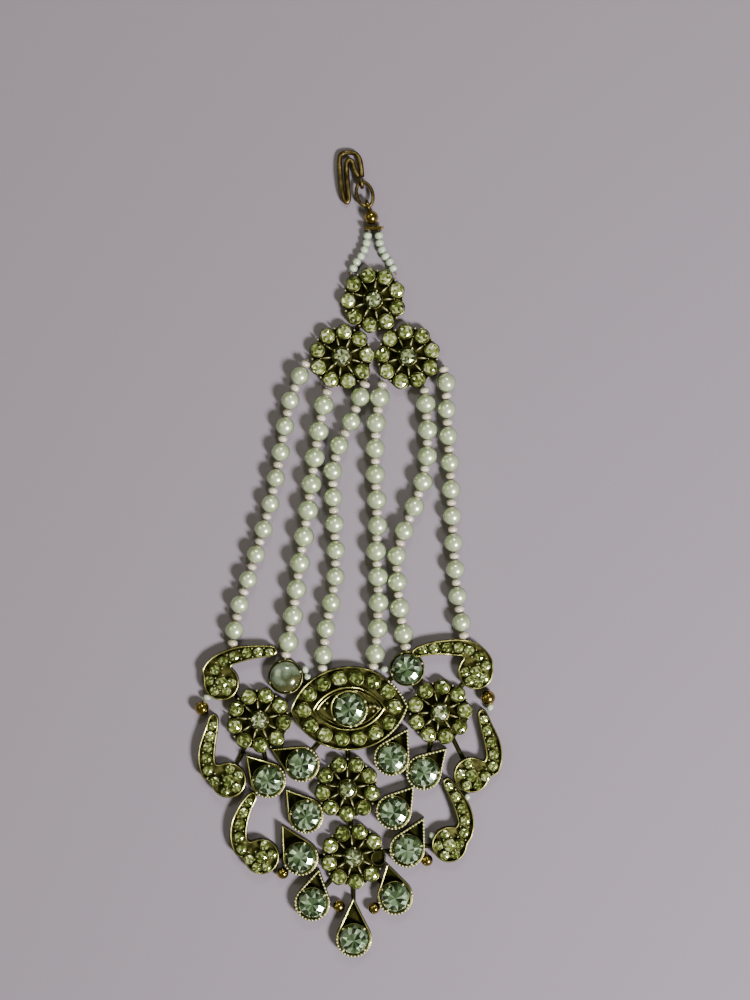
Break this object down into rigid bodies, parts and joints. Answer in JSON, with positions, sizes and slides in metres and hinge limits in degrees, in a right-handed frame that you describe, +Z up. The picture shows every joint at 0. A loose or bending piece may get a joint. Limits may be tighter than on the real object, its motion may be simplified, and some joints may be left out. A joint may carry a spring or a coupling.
{
  "type": "maang tikka, side-worn passa form",
  "caption": "Side-worn head jewel: wire hook, two seed strings, stone-flower cluster, pearl strands and a wide jewelled panel of flowers, scrolls and drops.",
  "frame": {"origin": "middle of the underside of the whole jewel, on the surface it lies on", "axes": "+Y along the length, towards the hook; +X to the right seen from the stones' side; +Z up out of the stones' side"},
  "size_m": [0.0672, 0.177, 0.0049],
  "materials": {
    "antique_gold": "oxidised antique gold plate with bright worn edges; the small foil-backed stones fused to it are yellow-green glass",
    "bright_gold": "polished gold ball",
    "dark_gold_wire": "drawn wire, darkened gold plate",
    "pale_glass_stone": "cut foil-backed glass, pale aqua green",
    "pearl": "pearl lustre over a bead, pale ivory green, with whitish spacers",
    "seed_bead": "whitish glass seed beads"
  },
  "bodies": {
    "root": {"ball_foot_left": "bright_gold", "ball_foot_right": "bright_gold", "ball_left": "bright_gold", "ball_low_left": "bright_gold", "ball_low_right": "bright_gold", "ball_right": "bright_gold", "crimp": "dark_gold_wire", "end_ball": "bright_gold", "hook": "dark_gold_wire", "jump_ring": "dark_gold_wire", "panel_frame": "antique_gold", "seed_string_left": "seed_bead", "seed_string_right": "seed_bead", "stone_cluster_left": "pale_glass_stone", "stone_cluster_right": "pale_glass_stone", "stone_cluster_top": "pale_glass_stone", "stone_drop_1": "pale_glass_stone", "stone_drop_10": "pale_glass_stone", "stone_drop_11": "pale_glass_stone", "stone_drop_2": "pale_glass_stone", "stone_drop_3": "pale_glass_stone", "stone_drop_4": "pale_glass_stone", "stone_drop_5": "pale_glass_stone", "stone_drop_6": "pale_glass_stone", "stone_drop_7": "pale_glass_stone", "stone_drop_8": "pale_glass_stone", "stone_drop_9": "pale_glass_stone", "stone_left": "pale_glass_stone", "stone_lower": "pale_glass_stone", "stone_marquise": "pale_glass_stone", "stone_middle": "pale_glass_stone", "stone_right": "pale_glass_stone", "stone_round_left": "pale_glass_stone", "stone_round_right": "pale_glass_stone", "strand_1": "pearl", "strand_2": "pearl", "strand_3": "pearl", "strand_4": "pearl", "strand_5": "pearl", "strand_6": "pearl", "upper_cluster": "antique_gold"}
  },
  "joints": []
}
